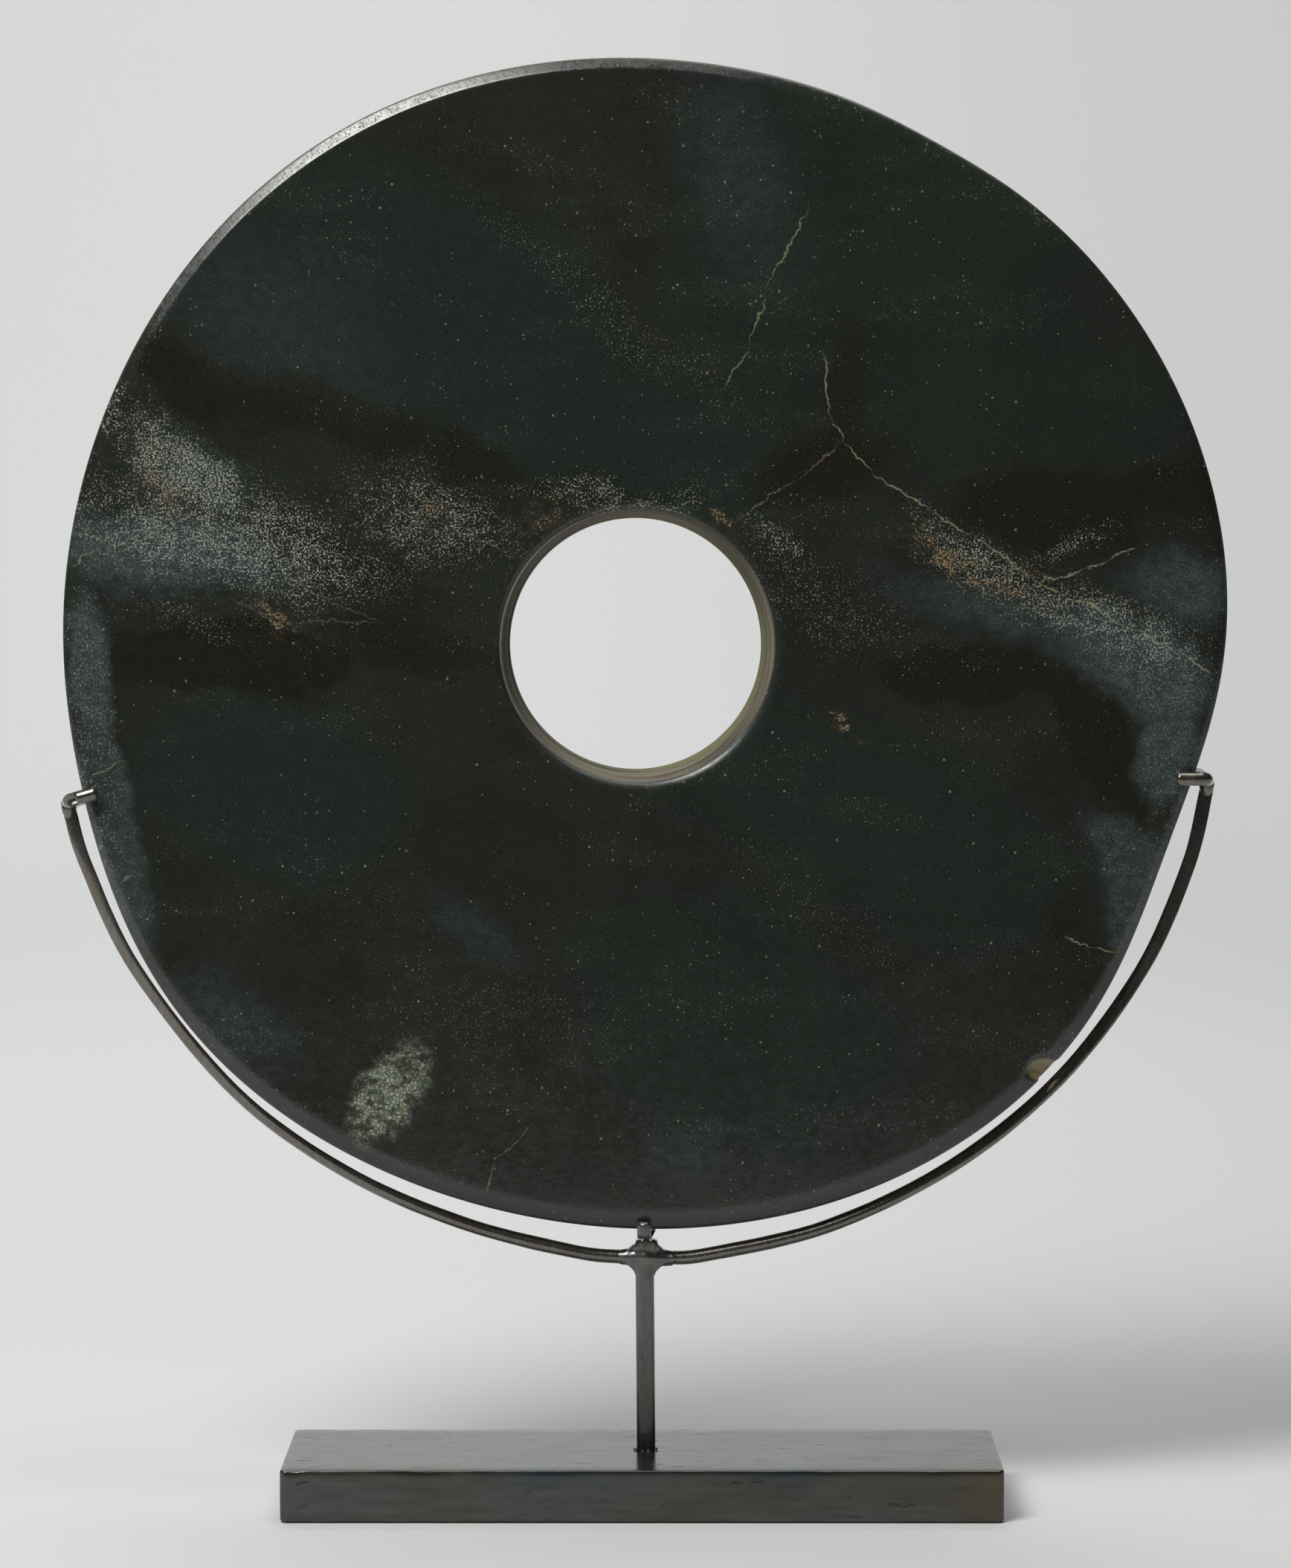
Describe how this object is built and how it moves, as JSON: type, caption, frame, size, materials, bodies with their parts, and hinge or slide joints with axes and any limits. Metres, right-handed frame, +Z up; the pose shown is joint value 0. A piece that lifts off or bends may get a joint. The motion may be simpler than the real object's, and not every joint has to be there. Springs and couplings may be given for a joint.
{
  "type": "jade bi disc",
  "caption": "Large plain ring of dark green-black jade with a central bore, standing upright in a patinated steel display mount with two curved arms on a stem and a bar base.",
  "frame": {"origin": "middle of the base bar's flat underside, on the surface it stands on", "axes": "+Z up, +X to the right as seen from the front, -Y out of the disc's front face"},
  "size_m": [0.2477, 0.05, 0.3071],
  "materials": {
    "jade": "polished dark green-black nephrite with grey-white grains, olive veins and brown stains",
    "base_steel": "dark patinated steel, semi-polished, with blue and brown heat tones and small pits",
    "rod_steel": "dark brown-black patinated steel rod and square bar, brazed, satin"
  },
  "bodies": {
    "root": {"base_bar": "base_steel", "stem": "rod_steel", "left_arm": "rod_steel", "right_arm": "rod_steel", "saddle": "rod_steel", "jade_disc": "jade"}
  },
  "joints": []
}
